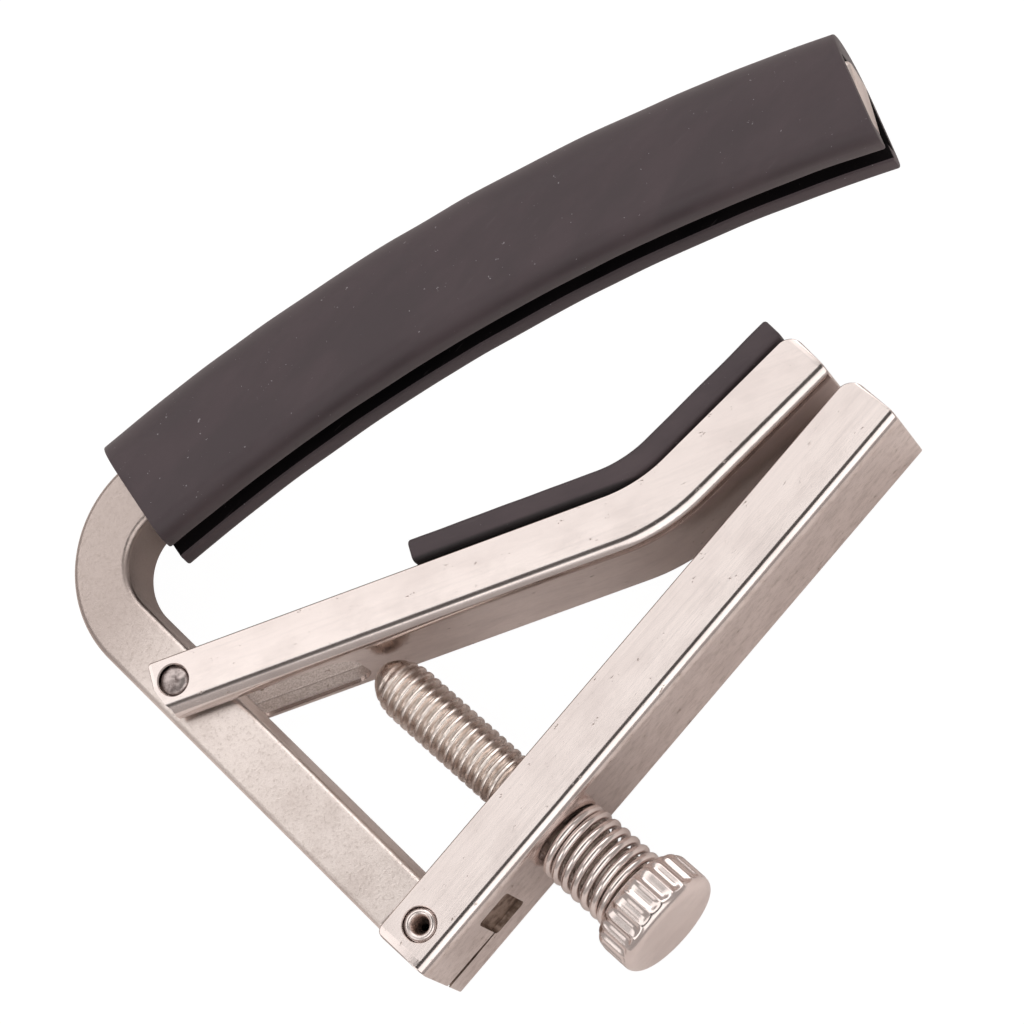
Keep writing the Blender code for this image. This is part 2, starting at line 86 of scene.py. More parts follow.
ARM_ANGLE = -29.2
ARM_LEFT = -1.75
ARM_STRAIGHT = 36.5
ARM_TURN = 26.1
ARM_TURN_RADIUS = 14.0
ARM_TAIL = 13.3
ARM_LENGTH = ARM_STRAIGHT + math.radians(ARM_TURN) * ARM_TURN_RADIUS + ARM_TAIL
ARM_TOP = 1.94
ARM_WEB = -2.7
ARM_FOLD = 1.1
ARM_CORNERS = (0.35, 1.1)
ARM_BOW = 0.2
PAD_START = 20.85
PAD_END_GAP = 0.5
PAD_TOP = 4.15
PAD_BOTTOM = 2.24

LEVER_ANGLE = 2.0
LEVER_LEFT = -2.65
LEVER_RIGHT = 51.8
LEVER_TOP = 2.33
LEVER_WEB = -2.85
LEVER_FOLD = 0.95
LEVER_CORNERS = (0.7, 1.1)
LEVER_BOW = 0.3
POCKET = (2.9, -1.7, 5.8, 2.7)

SCREW_STATION = 12.05
SCREW_TIP = -17.75
SCREW_RADIUS = 2.35
SCREW_DOME = 3.6
THREAD_PITCH = 0.794
THREAD_DEPTH = 0.40
KNOB_START = 9.7
KNOB_END = 13.7
KNOB_RADIUS = 4.5
SPRING_RADIUS = 3.0
SPRING_WIRE = 0.36

# The noise module is seeded by the clock unless a seed is set.
NOISE_SEED = 7
noise.seed_set(NOISE_SEED)


def joint_place(name):
    """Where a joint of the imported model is, in metres."""
    return next(Vector(joint["pos_m"]) for joint in frame["joints"] if joint["name"] == name)


LEVER_PIVOT = joint_place("lever_pivot")
ARM_PIVOT = joint_place("arm_pivot")
SCREW_BASE = joint_place("knob_spin")

FRAME_AXES = Matrix.Translation(LEVER_PIVOT)
ARM_AXES = Matrix.Translation(ARM_PIVOT) @ Matrix.Rotation(math.radians(ARM_ANGLE), 4, "Z")
LEVER_AXES = Matrix.Translation(LEVER_PIVOT) @ Matrix.Rotation(math.radians(LEVER_ANGLE), 4, "Z")

# Turns +Z to -Y, the way out through a channel's web.
OUT_OF_WEB = Matrix.Rotation(math.radians(90.0), 4, "X")
SCREW_TILT = Matrix.Rotation(math.radians(LEVER_ANGLE), 4, "Z") @ OUT_OF_WEB
SCREW_AXES = Matrix.Translation(SCREW_BASE) @ SCREW_TILT
IN_PLACE = Matrix.Identity(4)


# Shapes.


def smooth(low, high, value):
    """0 at low, 1 at high, and an even curve between them. low may be the larger."""
    t = min(max((value - low) / (high - low), 0.0), 1.0)
    return t * t * (3.0 - 2.0 * t)


def arc(centre, radius, start, end, segments):
    """Points on a circle from one angle to another, both ends included."""
    points = []
    for step in range(segments + 1):
        angle = math.radians(start + (end - start) * step / segments)
        points.append((centre[0] + radius * math.cos(angle), centre[1] + radius * math.sin(angle)))
    return points


def heading(degrees):
    """The forward and the upward direction of a path at an angle from X."""
    forward = Vector((math.cos(math.radians(degrees)), math.sin(math.radians(degrees)), 0.0))
    return forward, Vector((-forward.y, forward.x, 0.0))


def inset(section, amount):
    """A closed section with each point moved inward, towards the material."""
    count = len(section)
    twice_area = 0.0
    for (x, y), (next_x, next_y) in zip(section, section[1:] + section[:1]):
        twice_area += x * next_y - next_x * y
    side = 1.0 if twice_area > 0.0 else -1.0
    moved = []
    for index in range(count):
        here = Vector(section[index])
        before = here - Vector(section[index - 1])
        after = Vector(section[(index + 1) % count]) - here
        normal_before = Vector((-before.y, before.x)).normalized()
        normal_after = Vector((-after.y, after.x)).normalized()
        normal = (normal_before + normal_after).normalized()
        reach = amount / max(normal.dot(normal_after), 0.5)
        moved.append(tuple(here + normal * reach * side))
    return moved


def join_rings(bm, rings, closed=False):
    """Faces between neighbouring rings, with flat ends unless the rings meet in a loop."""
    count = len(rings[0])
    pairs = list(zip(rings, rings[1:]))
    if closed:
        pairs.append((rings[-1], rings[0]))
    for ring, following in pairs:
        for index in range(count):
            after = (index + 1) % count
            bm.faces.new((ring[index], ring[after], following[after], following[index]))
    if not closed:
        bm.faces.new(rings[0])
        bm.faces.new(rings[-1])


def sweep(rows, leans=None):
    """Rows of (x, y, direction in degrees, section), each section a list of (height, z).

    leans holds, for each row, how far a point moves forward for each unit of its height and
    of its z.
    """
    bm = bmesh.new()
    rings = []
    for index, (x, y, direction, section) in enumerate(rows):
        forward, upward = heading(direction)
        by_height, by_z = leans[index] if leans else (0.0, 0.0)
        ring = []
        for height, z in section:
            along = by_height * height + by_z * z
            ring.append(bm.verts.new(Vector((x, y, z)) + forward * along + upward * height))
        rings.append(ring)
    join_rings(bm, rings)
    return bm


def skin(loops, closed=False):
    """A solid whose surface runs from each loop of points to the next."""
    bm = bmesh.new()
    join_rings(bm, [[bm.verts.new(point) for point in loop] for loop in loops], closed)
    return bm


def prism(outline, low, high):
    """An outline in X and Y, as a solid from one Z to another."""
    return skin([[(x, y, low) for x, y in outline], [(x, y, high) for x, y in outline]])


def turn(profile, segments=64, hollow=False):
    """A profile of (radius, z) turned about Z: a loop when hollow, else a line from end to end."""
    loops = []
    for radius, z in profile:
        loop = []
        for step in range(segments):
            angle = 2.0 * math.pi * step / segments
            loop.append((radius * math.cos(angle), radius * math.sin(angle), z))
        loops.append(loop)
    return skin(loops, hollow)


def box_outline(box, radius, growth=0.0):
    """A box (low x, low y, high x, high y) with round corners, grown on all sides."""
    low_x, low_y = box[0] - growth, box[1] - growth
    high_x, high_y = box[2] + growth, box[3] + growth
    points = []
    for x, y, start in (
        (high_x - radius, high_y - radius, 0.0),
        (low_x + radius, high_y - radius, 90.0),
        (low_x + radius, low_y + radius, 180.0),
        (high_x - radius, low_y + radius, 270.0),
    ):
        points += arc((x, y), radius, start, start + 90.0, 6)
    return points


def mesh_object(name, bm, axes, sharp=32.0):
    """A mesh object in a piece's axes, with millimetres turned into metres and faces out."""
    bmesh.ops.recalc_face_normals(bm, faces=bm.faces)
    bmesh.ops.scale(bm, vec=(MM, MM, MM), verts=bm.verts)
    mesh = bpy.data.meshes.new(name)
    bm.to_mesh(mesh)
    bm.free()
    mesh.shade_smooth()
    mesh.set_sharp_from_angle(angle=math.radians(sharp))
    obj = bpy.data.objects.new(name, mesh)
    obj.matrix_world = axes
    bpy.context.scene.collection.objects.link(obj)
    return obj


def carve(obj, cutters):
    """Takes each (bmesh, placing matrix) out of obj for good."""
    helpers = []
    for bm, place in cutters:
        helper = mesh_object(obj.name + "_cut", bm, obj.matrix_world @ place)
        helpers.append(helper)
        boolean = obj.modifiers.new("cut", "BOOLEAN")
        boolean.object = helper
        boolean.solver = "EXACT"
    set_shape(obj)
    for helper in helpers:
        bpy.data.objects.remove(helper)


def set_shape(obj, sharp=32.0):
    """Makes what the modifiers show into the object's own mesh."""
    bpy.context.view_layer.update()
    graph = bpy.context.evaluated_depsgraph_get()
    mesh = bpy.data.meshes.new_from_object(obj.evaluated_get(graph))
    obj.modifiers.clear()
    obj.data = mesh
    mesh.shade_smooth()
    mesh.set_sharp_from_angle(angle=math.radians(sharp))


def even_normals(obj):
    """Keeps a rounded edge from shading the flat face beside it."""
    weighted = obj.modifiers.new("normals", "WEIGHTED_NORMAL")
    weighted.keep_sharp = True
    weighted.weight = 80


def roughen(obj, amount, scale):
    """Moves the points of a soft piece by a little smooth noise, in millimetres."""
    for vertex in obj.data.vertices:
        vertex.co += noise.noise_vector(vertex.co / MM * scale) * amount * MM


def shift(x, y, z):
    """A move in millimetres."""
    return Matrix.Translation((x * MM, y * MM, z * MM))


# Materials.

BRIGHT = (0.84, 0.757, 0.727)
DULL = (0.71, 0.63, 0.605)
BROWN = (0.34, 0.265, 0.225)
RUBBER_DARK = (0.064, 0.047, 0.053)
NO_TURN = 99.0


def add(tree, kind, *links, **settings):
    """A shader node: settings are its properties, and links are (input, value or socket)."""
    made = tree.nodes.new("ShaderNode" + kind)
    for key, value in settings.items():
        setattr(made, key, value)
    for key, value in links:
        if isinstance(value, bpy.types.NodeSocket):
            tree.links.new(value, made.inputs[key])
        else:
            made.inputs[key].default_value = value
    return made


def mix(tree, factor, first, second):
    """A colour between two, by a factor from 0 to 1."""
    made = add(tree, "Mix", data_type="RGBA")
    for index, value in ((0, factor), (6, first), (7, second)):
        if isinstance(value, bpy.types.NodeSocket):
            tree.links.new(value, made.inputs[index])
        elif index:
            made.inputs[index].default_value = (*value, 1.0)
        else:
            made.inputs[index].default_value = value
    return made.outputs[2]


def math_node(tree, operation, first, second):
    return add(tree, "Math", (0, first), (1, second), operation=operation).outputs[0]


def scaled(tree, value, factor):
    return math_node(tree, "MULTIPLY", value, factor)


def ramp(tree, value, low, high, to_low=0.0, to_high=1.0):
    """value from low to high, mapped smoothly to another range and held there."""
    links = [("Value", value), ("From Min", low), ("From Max", high)]
    links += [("To Min", to_low), ("To Max", to_high)]
    return add(tree, "MapRange", *links, interpolation_type="SMOOTHSTEP").outputs[0]


def grain(tree, coordinates, stretch, detail=3.0, roughness=0.55):
    """Noise whose cells are about a millimetre divided by stretch."""
    cells = [amount / MM for amount in stretch]
    mapping = add(tree, "Mapping", ("Vector", coordinates), ("Scale", cells))
    links = [("Vector", mapping.outputs[0]), ("Scale", 1.0)]
    links += [("Detail", detail), ("Roughness", roughness)]
    return add(tree, "TexNoise", *links).outputs["Fac"]


def new_material(name, metallic, **constants):
    """A material, its node tree, its shader and its object coordinates."""
    material = bpy.data.materials.new(name)
    material.use_nodes = True
    tree = material.node_tree
    shader = tree.nodes["Principled BSDF"]
    shader.inputs["Metallic"].default_value = metallic
    for key, value in constants.items():
        shader.inputs[key.replace("_", " ")].default_value = value
    coordinates = add(tree, "TexCoord").outputs["Object"]
    return material, tree, shader, coordinates


def finish_material(tree, shader, colour, roughness, height, strength, distance):
    """Joins colour, roughness and relief to the shader. distance is in millimetres."""
    tree.links.new(colour, shader.inputs["Base Color"])
    tree.links.new(roughness, shader.inputs["Roughness"])
    links = (("Height", height), ("Strength", strength), ("Distance", distance * MM))
    tree.links.new(add(tree, "Bump", *links).outputs[0], shader.inputs["Normal"])


def channel_wear_and_shade(tree, place, colour, fine, spots, span, web_spots_and_shade, inside):
    """A folded channel's spots and painted shade, as its colour and a mask of its inner walls.

    span is the height of its web's face and of its top edges, and the X where it starts to turn.
    web_spots_and_shade is how brown the web's face turns in blotches, partly its dark spots and
    partly painted shade, and inside how brown the inner walls are as painted shade, each from the
    least to the most. The flanges are painted lighter by the fold and darker towards the top, and
    a painted shade line runs along the top edges up to the turn.
    """
    web, top, straight = span
    parts = add(tree, "SeparateXYZ", ("Vector", place))
    height = parts.outputs["Y"]
    across = math_node(tree, "ABSOLUTE", parts.outputs["Z"], 0.0)
    before_turn = ramp(tree, parts.outputs["X"], straight * MM, (straight - 3.0) * MM)
    # Painted shading: the flanges are lighter by the fold and darker towards the top edge, and so
    # along the arm's tail past its turn.
    upper = ramp(tree, height, (web + 1.4) * MM, top * MM, 0.0, 0.4)
    colour = mix(tree, upper, colour, DULL)
    # The web's face browns in blotches: partly its dark spots, partly painted shade of the shaded
    # web.
    low = ramp(tree, height, (web + 0.45) * MM, web * MM)
    blotch = ramp(tree, spots, 0.42, 0.66, *web_spots_and_shade)
    colour = mix(tree, math_node(tree, "MULTIPLY", low, blotch), colour, BROWN)
    above_web = ramp(tree, height, (web + 0.15) * MM, (web + 0.6) * MM)
    inner = math_node(tree, "MULTIPLY", ramp(tree, across, 4.2 * MM, 4.0 * MM), above_web)
    inner = math_node(tree, "MULTIPLY", inner, before_turn)
    # A painted shade line along the top edges, up to the turn.
    rim = ramp(tree, height, (top - 0.18) * MM, (top - 0.05) * MM, 0.0, 0.7)
    colour = mix(tree, math_node(tree, "MULTIPLY", rim, before_turn), colour, BROWN)
    # Painted shade: the inner walls are browned by the amounts in inside.
    painted_inner_shade = math_node(tree, "MULTIPLY", inner, ramp(tree, fine, 0.35, 0.65, *inside))
    return mix(tree, painted_inner_shade, colour, BROWN), inner


def plated(name, streak, roughness, pits, relief, span=None, web_spots_and_shade=(0.0, 0.0), inside=(0.0, 0.0)):
    """Nickel plate: cloudy tone, streaks, fine grain and small pits, and a channel's spots and
    painted shade.
    """
    material, tree, shader, place = new_material(name, 1.0)
    cloud = grain(tree, place, (0.22, 0.4, 0.4), detail=4.0)
    lines = grain(tree, place, streak, detail=4.0, roughness=0.7)
    fine = grain(tree, place, (7.0, 9.0, 9.0), detail=3.0)
    spots = grain(tree, place, (1.1, 1.9, 1.9), detail=4.0, roughness=0.7)
    pit = ramp(tree, spots, pits, pits + 0.05)
    colour = mix(tree, ramp(tree, cloud, 0.38, 0.72, 0.0, 0.8), BRIGHT, DULL)
    colour = mix(tree, ramp(tree, lines, 0.5, 0.8, 0.0, 0.45), colour, DULL)
    colour = mix(tree, ramp(tree, fine, 0.5, 0.72, 0.0, 0.3), colour, DULL)
    rough = math_node(tree, "ADD", scaled(tree, lines, 0.12), roughness - 0.06)
    rough = math_node(tree, "ADD", rough, scaled(tree, pit, 0.25))
    if span is not None:
        colour, inner = channel_wear_and_shade(tree, place, colour, fine, spots, span, web_spots_and_shade, inside)
        rough = math_node(tree, "ADD", rough, scaled(tree, inner, 0.35))
    colour = mix(tree, scaled(tree, pit, 0.75), colour, BROWN)
    height = math_node(tree, "ADD", scaled(tree, lines, 0.5), scaled(tree, fine, 0.3))
    height = math_node(tree, "SUBTRACT", height, scaled(tree, pit, 0.9))
    finish_material(tree, shader, colour, rough, height, relief, 0.015)
    return material


def cast_plate(name):
    """Satin plate over a cast surface: close faint speckle, soft patches, and a darker bend."""
    material, tree, shader, place = new_material(name, 1.0)
    cloud = grain(tree, place, (0.25, 0.25, 0.4), detail=4.0)
    speckle = grain(tree, place, (4.5, 4.5, 4.5), detail=4.0, roughness=0.65)
    fine = grain(tree, place, (11.0, 11.0, 11.0), detail=2.0)
    height = add(tree, "SeparateXYZ", ("Vector", place)).outputs["Y"]
    colour = mix(tree, ramp(tree, cloud, 0.4, 0.75), (0.84, 0.755, 0.715), (0.73, 0.645, 0.605))
    # Darker over the bend, by height.
    bend = ramp(tree, height, 27.0 * MM, 38.0 * MM, 0.0, 0.95)
    colour = mix(tree, bend, colour, (0.50, 0.425, 0.395))
    colour = mix(tree, ramp(tree, speckle, 0.50, 0.72, 0.0, 0.42), colour, (0.46, 0.39, 0.35))
    rough = ramp(tree, speckle, 0.3, 0.7, 0.30, 0.40)
    bumps = math_node(tree, "ADD", speckle, scaled(tree, fine, 0.35))
    finish_material(tree, shader, colour, rough, bumps, 0.5, 0.03)
    return material


def tarnished(name, bright, brown, cover, roughness, groove=None):
    """Plate worn to brown in patches, with painted shade browning it below a radius when one is
    given.
    """
    material, tree, shader, place = new_material(name, 1.0)
    cloud = grain(tree, place, (0.9, 0.9, 0.9), detail=5.0, roughness=0.65)
    fine = grain(tree, place, (6.0, 6.0, 6.0), detail=3.0)
    colour = mix(tree, ramp(tree, cloud, cover - 0.12, cover + 0.12), bright, brown)
    if groove is not None:
        # Painted shade: browner below the given radius, in the rivet's bore and the screw's thread
        # roots.
        level = (1.0, 1.0, 0.0)
        flat = add(tree, "VectorMath", (0, place), (1, level), operation="MULTIPLY").outputs[0]
        radius = add(tree, "VectorMath", (0, flat), operation="LENGTH").outputs["Value"]
        painted_groove_shade = ramp(tree, radius, groove * MM, (groove - 0.24) * MM, 0.0, 0.5)
        colour = mix(tree, painted_groove_shade, colour, brown)
    rough = ramp(tree, cloud, 0.3, 0.7, roughness - 0.06, roughness + 0.12)
    height = math_node(tree, "ADD", scaled(tree, cloud, 0.7), scaled(tree, fine, 0.5))
    finish_material(tree, shader, colour, rough, height, 0.4, 0.03)
    return material


def rubber(name, dark, light, dust_amount, specular, edge=None):
    """Matt black rubber: faint mottling, a little pale dust and light scuffs along its length.

    Below the height of an edge, when one is given, it is darkened with painted shade.
    """
    constants = {"Specular_IOR_Level": specular, "Sheen_Weight": 0.2 * specular}
    constants["Sheen_Roughness"] = 0.5
    material, tree, shader, place = new_material(name, 0.0, **constants)
    cloud = grain(tree, place, (0.12, 0.3, 0.3), detail=4.0)
    fine = grain(tree, place, (5.0, 5.0, 5.0), detail=4.0, roughness=0.7)
    dust = grain(tree, place, (1.3, 1.3, 1.3), detail=1.0)
    speck = grain(tree, place, (4.2, 4.2, 4.2), detail=2.0)
    scuff = grain(tree, place, (0.25, 2.8, 2.8), detail=3.0, roughness=0.6)
    colour = mix(tree, ramp(tree, cloud, 0.35, 0.7), dark, light)
    colour = mix(tree, ramp(tree, scuff, 0.64, 0.78, 0.0, 0.2), colour, (0.12, 0.10, 0.105))
    mask = math_node(tree, "MULTIPLY", ramp(tree, dust, 0.6, 0.66), ramp(tree, speck, 0.675, 0.725))
    colour = mix(tree, scaled(tree, mask, dust_amount), colour, (0.36, 0.33, 0.35))
    if edge is not None:
        # Painted shade below the edge.
        rise = add(tree, "SeparateXYZ", ("Vector", place)).outputs["Y"]
        below = ramp(tree, rise, (edge + 0.3) * MM, edge * MM, 0.0, 0.9)
        colour = mix(tree, below, colour, (0.008, 0.006, 0.007))
    rough = ramp(tree, cloud, 0.3, 0.7, 0.52, 0.64)
    height = math_node(tree, "ADD", scaled(tree, fine, 0.7), scaled(tree, scuff, 0.3))
    finish_material(tree, shader, colour, rough, height, 0.35, 0.03)
    return material


# The arm's inner walls are browned as painted shade.
ARM_METAL = plated(
    "arm_plate",
    streak=(0.08, 3.2, 3.2),
    roughness=0.17,
    pits=0.66,
    relief=0.4,
    span=(ARM_WEB, ARM_TOP, ARM_STRAIGHT),
    web_spots_and_shade=(0.0, 0.10),
    inside=(0.3, 0.7),
)
# The lever's web browns more in blotches: its spots and painted shade.
LEVER_METAL = plated(
    "lever_plate",
    streak=(0.06, 2.8, 2.8),
    roughness=0.16,
    pits=0.66,
    relief=0.4,
    span=(LEVER_WEB, LEVER_TOP, NO_TURN),
    web_spots_and_shade=(0.12, 0.40),
)
KNOB_METAL = plated("knob_plate", streak=(1.2, 1.2, 0.5), roughness=0.20, pits=0.70, relief=0.25)
SPRING_METAL = plated("spring_wire", streak=(2.0, 2.0, 2.0), roughness=0.20, pits=0.68, relief=0.3)
# The rivet's bore is browned below that radius: painted shade.
RIVET_METAL = tarnished("rivet_plate", BRIGHT, BROWN, cover=0.70, roughness=0.24, groove=0.78)
FRAME_METAL = cast_plate("cast_nickel_plate")
# The screw's thread roots and narrow tip are browned below that radius: painted shade.
SCREW_METAL = tarnished(
    "screw_plate",
    (0.90, 0.82, 0.77),
    (0.48, 0.385, 0.325),
    cover=0.66,
    roughness=0.25,
    groove=2.18,
)
PIN_METAL = tarnished(
    "pin_steel",
    (0.56, 0.49, 0.475),
    (0.17, 0.135, 0.13),
    cover=0.50,
    roughness=0.36,
)
# Dark brown for the lever's pocket and seam: painted shade in these recesses, with a mottled tone.
POCKET_SHADE_METAL = tarnished(
    "pocket_painted_shade",
    (0.34, 0.26, 0.215),
    (0.16, 0.11, 0.085),
    cover=0.52,
    roughness=0.62,
)
RUBBER = rubber(
    "capo_rubber",
    RUBBER_DARK,
    (0.082, 0.060, 0.067),
    dust_amount=0.75,
    specular=0.42,
)
# The pad is painted with shade along its rounded lower edge.
PAD_RUBBER = rubber(
    "pad_rubber",
    RUBBER_DARK,
    (0.086, 0.064, 0.070),
    dust_amount=0.95,
    specular=0.42,
    edge=2.42,
)
# Near-black for the sleeve's slit walls and hollow: painted shade.
HOLLOW_SHADE_RUBBER = rubber(
    "hollow_painted_shade",
    (0.002, 0.0015, 0.002),
    (0.004, 0.003, 0.0035),
    dust_amount=0.1,
    specular=0.06,
)


def place_piece(obj, body, node, slot, *materials):
    """Hands a finished piece to the frame: its body, the solid it stands for, and its finish."""
    obj.data.materials.clear()
    for material in materials:
        obj.data.materials.append(material)
    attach(obj, body)
    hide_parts(node)


# The bent bar and its sleeve.


def bend_centre(side_x, bend_radius, arch_radius):
    """The centre of a bend that runs smoothly from the leg's side into the arch.

    The angle at which it meets the arch comes with it.
    """
    x = side_x + bend_radius
    reach = arch_radius - bend_radius
    across = x - ARCH_CENTRE[0]
    y = ARCH_CENTRE[1] + math.sqrt(reach**2 - across**2)
    return (x, y), math.degrees(math.acos(across / reach))


def bar_end_point(height):
    """A point of the bar's free end, at a height above the bar's middle line."""
    degrees = ARCH_END - math.degrees(BAR_END_LEAN * height / ARCH_RADIUS)
    return arc(ARCH_CENTRE, ARCH_RADIUS + height, degrees, degrees, 1)[0]


def bar_outline():
    right = LEG_LEFT + BAR_WIDTH
    half = BAR_WIDTH / 2
    inner_centre, inner_angle = bend_centre(right, BEND_INNER, ARCH_RADIUS - half)
    outer_centre, outer_angle = bend_centre(LEG_LEFT, BEND_OUTER, ARCH_RADIUS + half)
    near_end = ARCH_END + 1.0
    root = LEG_ROOT_RADIUS
    points = [(LEG_LEFT, LEG_STEP), (-root, LEG_STEP)]
    points += arc((0.0, 0.0), root, 180.0, 270.0, 12)
    points += arc((right - LEG_CORNER, LEG_CORNER - root), LEG_CORNER, 270.0, 360.0, 8)
    points += arc(inner_centre, BEND_INNER, 180.0, inner_angle, 24)
    points += arc(ARCH_CENTRE, ARCH_RADIUS - half, inner_angle, near_end, 40)[1:]
    points += [bar_end_point(-half), bar_end_point(half)]
    points += arc(ARCH_CENTRE, ARCH_RADIUS + half, near_end, outer_angle, 40)
    points += arc(outer_centre, BEND_OUTER, outer_angle, 180.0, 40)[1:]
    return points


def hole_cutter(radius, mouth, depth=6.0):
    """A round cutter through the whole thickness, flared by a hair at both faces."""
    half = CHANNEL_HALF
    upper = [(radius, half - 0.12), (radius + 0.06, half - 0.04)]
    upper += [(mouth, half + 0.001), (mouth, depth)]
    return turn([(at, -z) for at, z in reversed(upper)] + upper, 48)


def make_frame_bar():
    bar = mesh_object("bent_bar", prism(bar_outline(), -BAR_DEPTH / 2, BAR_DEPTH / 2), FRAME_AXES)
    bevel = bar.modifiers.new("edges", "BEVEL")
    bevel.width = BAR_EDGE * MM
    bevel.segments = 5
    bevel.limit_method = "ANGLE"
    bevel.angle_limit = math.radians(50.0)
    set_shape(bar)
    lever_hole = turn([(LEVER_BORE, -4.0), (LEVER_BORE, 4.0)], 48)
    arm_hole = turn([(ARM_BORE, -4.0), (ARM_BORE, 4.0)], 48)
    arm_shift = (ARM_PIVOT - LEVER_PIVOT) / MM
    carve(bar, [(lever_hole, IN_PLACE), (arm_hole, shift(*arm_shift))])
    even_normals(bar)
    place_piece(bar, "frame", "hook_frame", "cast_nickel", FRAME_METAL)


def sleeve_section():
    """The sleeve's closed C, as (height, z), and how many of its points are the hollow's.

    The outside comes first, from lip to lip, and then the hollow back again.
    """
    half, slit, lip, lip_radius, shoulder, crown = 4.4, 1.35, -5.0, 1.5, 1.5, 5.7
    outside = [(lip + 0.25, slit), (lip + 0.07, slit + 0.07), (lip, slit + 0.25)]
    for z, height in arc((half - lip_radius, lip + lip_radius), lip_radius, -90.0, 0.0, 10):
        outside.append((height, z))
    outside += [(-2.0, half), (-0.6, half), (0.6, half)]
    for step in range(21):
        angle = math.radians(90.0 * step / 21)
        outside.append((shoulder + (crown - shoulder) * math.sin(angle), half * math.cos(angle)))
    hollow = [(-3.4, slit), (-3.4, 3.1), (-3.2, 3.3), (2.6, 3.3), (2.8, 3.1)]
    front = outside + [(crown, 0.0)]
    back = [(height, -z) for height, z in reversed(outside)]
    inside = [(height, -z) for height, z in hollow] + list(reversed(hollow))
    return front + back + inside, len(inside)


def end_lean(left_distance, right_distance):
    """The sleeve's lean at a distance from each end: full at the end, and none past LEAN_REACH."""
    left = max(1.0 - left_distance / LEAN_REACH, 0.0) ** 2
    right = max(1.0 - right_distance / LEAN_REACH, 0.0) ** 2
    return [left * a + right * b for a, b in zip(LEFT_END_LEAN, RIGHT_END_LEAN)]


def make_sleeve():
    section, hollow_points = sleeve_section()
    steps = 110
    length = math.radians(ARCH_START - ARCH_END) * ARCH_RADIUS
    end_stations = ((0.0, 0.16), (0.05, 0.06), (0.16, 0.0))
    places = list(end_stations) + [(length * step / steps, 0.0) for step in range(1, steps)]
    places += [(length - distance, amount) for distance, amount in reversed(end_stations)]
    rows = []
    leans = []
    for distance, amount in places:
        degrees = ARCH_START - math.degrees(distance / ARCH_RADIUS)
        x, y = arc(ARCH_CENTRE, ARCH_RADIUS, degrees, degrees, 1)[0]
        rows.append((x, y, degrees - 90.0, inset(section, amount) if amount else section))
        leans.append(end_lean(distance, length - distance))
    sleeve = mesh_object("rubber_sleeve", sweep(rows, leans), FRAME_AXES)
    # The section ends with the hollow's points, so the last faces between two rows are its inside.
    count = len(section)
    sides = count * (len(rows) - 1)
    first_hollow = count - hollow_points - 1
    faces = range(len(sleeve.data.polygons))
    # The slit's walls and the hollow take the near-black of painted shade.
    marks = [int(face < sides and face % count >= first_hollow) for face in faces]
    roughen(sleeve, 0.05, 0.22)
    place_piece(sleeve, "frame", "bar_sleeve", "black_rubber", RUBBER, HOLLOW_SHADE_RUBBER)
    sleeve.data.polygons.foreach_set("material_index", marks)


# The folded channels and the pad.


def channel_section(top, web, fold):
    """A U of folded sheet, open at its top, as (height, z), with its edges eased."""
    wall = CHANNEL_HALF - SHEET
    corners = arc((wall + 0.12, top - 0.12), 0.12, 180.0, 90.0, 3)
    corners += arc((CHANNEL_HALF - 0.16, top - 0.16), 0.16, 90.0, 0.0, 4)
    corners += arc((CHANNEL_HALF - fold, web + fold), fold, 0.0, -90.0, 12)
    side = [(height, z) for z, height in corners]
    inner_corner = arc((wall - 0.3, web + SHEET + 0.3), 0.3, -90.0, 0.0, 5)
    inner = [(height, z) for z, height in inner_corner]
    outside = side + [(height, -z) for height, z in reversed(side)]
    inside = [(height, -z) for height, z in reversed(inner)] + inner
    return outside + inside


def end_rows(radius):
    """Stations in from an end with a top corner of that radius.

    Each is a distance, how far the top edge drops there, and how far the section is eased in.
    """
    rows = [(0.0, 0.08), (0.02, 0.035), (0.08, 0.0)]
    angles = (35, 45, 55, 65, 75, 82, 90)
    bends = [radius * (1.0 - math.cos(math.radians(angle))) for angle in angles]
    rows += [(distance, 0.0) for distance in bends if distance > 0.1]
    made = []
    for distance, ease in rows:
        across = max(radius - distance, 0.0)
        drop = radius - math.sqrt(max(radius**2 - across**2, 0.0))
        made.append((distance, drop, ease))
    return made


def channel_rows(path, length, shape, corners, inner_steps):
    """Rows for a channel of shape (top, web, fold radius) along path(distance).

    corners are the radii of its top corners at its left and its right end.
    """
    top, web, fold = shape
    stations = end_rows(corners[0])
    stations += [(distance, 0.0, 0.0) for distance in inner_steps]
    right_rows = reversed(end_rows(corners[1]))
    stations += [(length - distance, drop, ease) for distance, drop, ease in right_rows]
    rows = []
    for distance, drop, ease in stations:
        section = channel_section(top - drop, web, fold)
        rows.append((*path(distance), inset(section, ease) if ease else section))
    return rows


def bow_end(bm, end, top, web, amount):
    """Bows a channel's end outward between its web and its top, by an amount at mid-height."""
    x, y, direction = end
    forward, upward = heading(direction)
    for vert in bm.verts:
        offset = vert.co - Vector((x, y, 0.0))
        share = 2.0 * (offset.dot(upward) - web) / (top - web) - 1.0
        near = smooth(-2.5, 0.0, offset.dot(forward))
        vert.co += forward * (amount * near * max(0.0, 1.0 - share * share))
    return bm


def arm_path(start):
    """A function from distance to (x, y, direction): straight, up the turn, and straight again."""

    def place(distance):
        along = start + distance
        if along <= ARM_STRAIGHT:
            return (along, 0.0, 0.0)
        turned = math.degrees((along - ARM_STRAIGHT) / ARM_TURN_RADIUS)
        degrees = min(turned, ARM_TURN)
        centre = (ARM_STRAIGHT, ARM_TURN_RADIUS)
        x, y = arc(centre, ARM_TURN_RADIUS, degrees - 90.0, degrees - 90.0, 1)[0]
        beyond = math.radians(turned - degrees) * ARM_TURN_RADIUS
        angle = math.radians(degrees)
        return (x + beyond * math.cos(angle), y + beyond * math.sin(angle), degrees)

    return place


